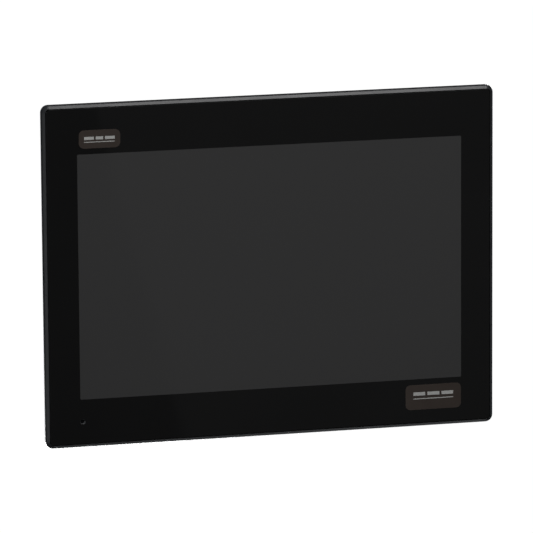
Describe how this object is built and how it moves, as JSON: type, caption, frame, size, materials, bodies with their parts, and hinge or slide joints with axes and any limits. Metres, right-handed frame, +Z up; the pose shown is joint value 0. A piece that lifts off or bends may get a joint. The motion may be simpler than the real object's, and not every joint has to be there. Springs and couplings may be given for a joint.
{
  "type": "hmi touch panel",
  "caption": "Panel-mount operator touch screen with a glass front in a thin bevelled frame, swing clamps, display, electronics box, ports and a hinged service door.",
  "frame": {"origin": "centre of the panel cut-out, on the rear face of the bezel flange that seats against the cabinet panel", "axes": "+Z up, +X to the right as the operator faces the screen, +Y back into the cabinet; the screen faces -Y"},
  "size_m": [0.3082, 0.0503, 0.2304],
  "materials": {
    "bezel_plastic": "fine moulded texture, dark grey",
    "printed_glass": "glossy black print behind toughened glass with a clear window",
    "adhesive_foam": "thin foam tape",
    "sensor_film": "coated film",
    "gasket_rubber": "closed cell foam rubber",
    "clear_plastic": "clear moulded acrylic",
    "circuit_board": "solder mask, satin",
    "badge_film": "satin brown-black film",
    "plated_steel": "zinc plated sheet",
    "display_glass": "polarised glass",
    "white_film": "diffusing film",
    "led_strip": "white strip with yellow phosphor packages",
    "tray_metal": "pressed sheet",
    "flex_film": "amber polyimide",
    "screw_steel": "zinc plated",
    "brass_parts": "machined",
    "component_plastic": "moulded epoxy",
    "heatsink_aluminium": "black anodised",
    "connector_shell": "tin plated shell",
    "terminal_green": "moulded green nylon",
    "housing_plastic": "coarse moulded texture, dark grey",
    "label_film": "silver-grey film, blank",
    "cell_steel": "nickel plated can",
    "switch_plastic": "moulded nylon",
    "slider_plastic": "moulded nylon",
    "button_plastic": "moulded nylon",
    "card_plastic": "moulded shell",
    "clamp_screw_steel": "zinc plated, hexagon socket",
    "clamp_metal": "zinc casting"
  },
  "bodies": {
    "panel_unit": {"backlight_sheets": "white_film", "badge_plates": "badge_film", "battery_holder": "component_plastic", "bezel_frame": "bezel_plastic", "board_parts": "component_plastic", "board_screws": "screw_steel", "board_standoffs": "brass_parts", "chassis_plate": "plated_steel", "chassis_screws": "screw_steel", "coin_cell": "cell_steel", "display_flex": "flex_film", "door_pin": "screw_steel", "ethernet_jacks": "connector_shell", "front_glass": "printed_glass", "glass_tape": "adhesive_foam", "heatsink": "heatsink_aluminium", "housing_screws": "screw_steel", "lcd_back_tray": "tray_metal", "lcd_cell": "display_glass", "lcd_driver_board": "circuit_board", "lcd_foam": "adhesive_foam", "lcd_front_frame": "plated_steel", "led_bar": "led_strip", "light_guide": "clear_plastic", "light_pipe": "clear_plastic", "main_board": "circuit_board", "mode_switch": "switch_plastic", "panel_gasket": "gasket_rubber", "power_header": "terminal_green", "rating_label": "label_film", "rear_housing": "housing_plastic", "sd_socket": "connector_shell", "serial_socket": "connector_shell", "service_board": "circuit_board", "status_led_board": "circuit_board", "touch_sensor": "sensor_film", "usb_sockets": "connector_shell"},
    "clamp_lever_1": {"clamp_lever_1": "clamp_metal"},
    "clamp_lever_2": {"clamp_lever_2": "clamp_metal"},
    "clamp_lever_3": {"clamp_lever_3": "clamp_metal"},
    "clamp_lever_4": {"clamp_lever_4": "clamp_metal"},
    "clamp_nut_1": {"clamp_nut_1": "brass_parts"},
    "clamp_nut_2": {"clamp_nut_2": "brass_parts"},
    "clamp_nut_3": {"clamp_nut_3": "brass_parts"},
    "clamp_nut_4": {"clamp_nut_4": "brass_parts"},
    "clamp_screw_1": {"clamp_screw_1": "clamp_screw_steel"},
    "clamp_screw_2": {"clamp_screw_2": "clamp_screw_steel"},
    "clamp_screw_3": {"clamp_screw_3": "clamp_screw_steel"},
    "clamp_screw_4": {"clamp_screw_4": "clamp_screw_steel"},
    "power_plug": {"power_plug": "terminal_green"},
    "reset_button": {"reset_button": "button_plastic"},
    "sd_card": {"sd_card": "card_plastic"},
    "service_door": {"service_door": "housing_plastic"},
    "switch_slider": {"switch_slider": "slider_plastic"},
    "terminal_screw_1": {"terminal_screw_1": "screw_steel"},
    "terminal_screw_2": {"terminal_screw_2": "screw_steel"},
    "terminal_screw_3": {"terminal_screw_3": "screw_steel"},
    "wire_cage_1": {"wire_cage_1": "brass_parts"},
    "wire_cage_2": {"wire_cage_2": "brass_parts"},
    "wire_cage_3": {"wire_cage_3": "brass_parts"}
  },
  "joints": [
    {"name": "clamp_turn_1", "type": "hinge", "parent": "panel_unit", "child": "clamp_screw_1", "pos_m": [-0.095, 0.017, 0.1032], "axis": [0, -1, 0], "range_deg": [0, 3190]},
    {"name": "clamp_advance_1", "type": "slide", "parent": "panel_unit", "child": "clamp_nut_1", "axis": [0, -1, 0], "range_m": [0, 0.0062]},
    {"name": "clamp_swing_1", "type": "hinge", "parent": "clamp_nut_1", "child": "clamp_lever_1", "pos_m": [-0.095, 0.0098, 0.1032], "axis": [0, -1, 0], "range_deg": [0, 90]},
    {"name": "clamp_turn_2", "type": "hinge", "parent": "panel_unit", "child": "clamp_screw_2", "pos_m": [0.095, 0.017, 0.1032], "axis": [0, -1, 0], "range_deg": [0, 3190]},
    {"name": "clamp_advance_2", "type": "slide", "parent": "panel_unit", "child": "clamp_nut_2", "axis": [0, -1, 0], "range_m": [0, 0.0062]},
    {"name": "clamp_swing_2", "type": "hinge", "parent": "clamp_nut_2", "child": "clamp_lever_2", "pos_m": [0.095, 0.0098, 0.1032], "axis": [0, -1, 0], "range_deg": [0, 90]},
    {"name": "clamp_turn_3", "type": "hinge", "parent": "panel_unit", "child": "clamp_screw_3", "pos_m": [-0.095, 0.017, -0.1032], "axis": [0, -1, 0], "range_deg": [0, 3190]},
    {"name": "clamp_advance_3", "type": "slide", "parent": "panel_unit", "child": "clamp_nut_3", "axis": [0, -1, 0], "range_m": [0, 0.0062]},
    {"name": "clamp_swing_3", "type": "hinge", "parent": "clamp_nut_3", "child": "clamp_lever_3", "pos_m": [-0.095, 0.0098, -0.1032], "axis": [0, -1, 0], "range_deg": [0, 90]},
    {"name": "clamp_turn_4", "type": "hinge", "parent": "panel_unit", "child": "clamp_screw_4", "pos_m": [0.095, 0.017, -0.1032], "axis": [0, -1, 0], "range_deg": [0, 3190]},
    {"name": "clamp_advance_4", "type": "slide", "parent": "panel_unit", "child": "clamp_nut_4", "axis": [0, -1, 0], "range_m": [0, 0.0062]},
    {"name": "clamp_swing_4", "type": "hinge", "parent": "clamp_nut_4", "child": "clamp_lever_4", "pos_m": [0.095, 0.0098, -0.1032], "axis": [0, -1, 0], "range_deg": [0, 90]},
    {"name": "power_plug_slide", "type": "slide", "parent": "panel_unit", "child": "power_plug", "axis": [0, 0, -1], "range_m": [0, 0.012]},
    {"name": "terminal_turn_1", "type": "hinge", "parent": "power_plug", "child": "terminal_screw_1", "pos_m": [-0.09308, 0.032, -0.085], "axis": [0, -1, 0], "range_deg": [0, 1100]},
    {"name": "cage_rise_1", "type": "slide", "parent": "power_plug", "child": "wire_cage_1", "axis": [0, 1, 0], "range_m": [0, 0.00137]},
    {"name": "terminal_turn_2", "type": "hinge", "parent": "power_plug", "child": "terminal_screw_2", "pos_m": [-0.088, 0.032, -0.085], "axis": [0, -1, 0], "range_deg": [0, 1100]},
    {"name": "cage_rise_2", "type": "slide", "parent": "power_plug", "child": "wire_cage_2", "axis": [0, 1, 0], "range_m": [0, 0.00137]},
    {"name": "terminal_turn_3", "type": "hinge", "parent": "power_plug", "child": "terminal_screw_3", "pos_m": [-0.08292, 0.032, -0.085], "axis": [0, -1, 0], "range_deg": [0, 1100]},
    {"name": "cage_rise_3", "type": "slide", "parent": "power_plug", "child": "wire_cage_3", "axis": [0, 1, 0], "range_m": [0, 0.00137]},
    {"name": "service_door_swing", "type": "hinge", "parent": "panel_unit", "child": "service_door", "pos_m": [-0.111, 0.0432, -0.02], "axis": [0, 0, 1], "range_deg": [0, 100]},
    {"name": "sd_card_slide", "type": "slide", "parent": "panel_unit", "child": "sd_card", "axis": [1, 0, 0], "range_m": [0, 0.022]},
    {"name": "mode_switch_slide", "type": "slide", "parent": "panel_unit", "child": "switch_slider", "axis": [0, 0, 1], "range_m": [0, 0.0026]},
    {"name": "reset_press", "type": "slide", "parent": "panel_unit", "child": "reset_button", "axis": [0, -1, 0], "range_m": [0, 0.0008], "stiffness_N_per_m": 400}
  ],
  "couplings": [
    {"joint": "clamp_turn_1", "follows": "clamp_advance_1", "rad_per_m": 8976},
    {"joint": "clamp_turn_2", "follows": "clamp_advance_2", "rad_per_m": 8976},
    {"joint": "clamp_turn_3", "follows": "clamp_advance_3", "rad_per_m": 8976},
    {"joint": "clamp_turn_4", "follows": "clamp_advance_4", "rad_per_m": 8976},
    {"joint": "terminal_turn_1", "follows": "cage_rise_1", "rad_per_m": 13963},
    {"joint": "terminal_turn_2", "follows": "cage_rise_2", "rad_per_m": 13963},
    {"joint": "terminal_turn_3", "follows": "cage_rise_3", "rad_per_m": 13963}
  ]
}
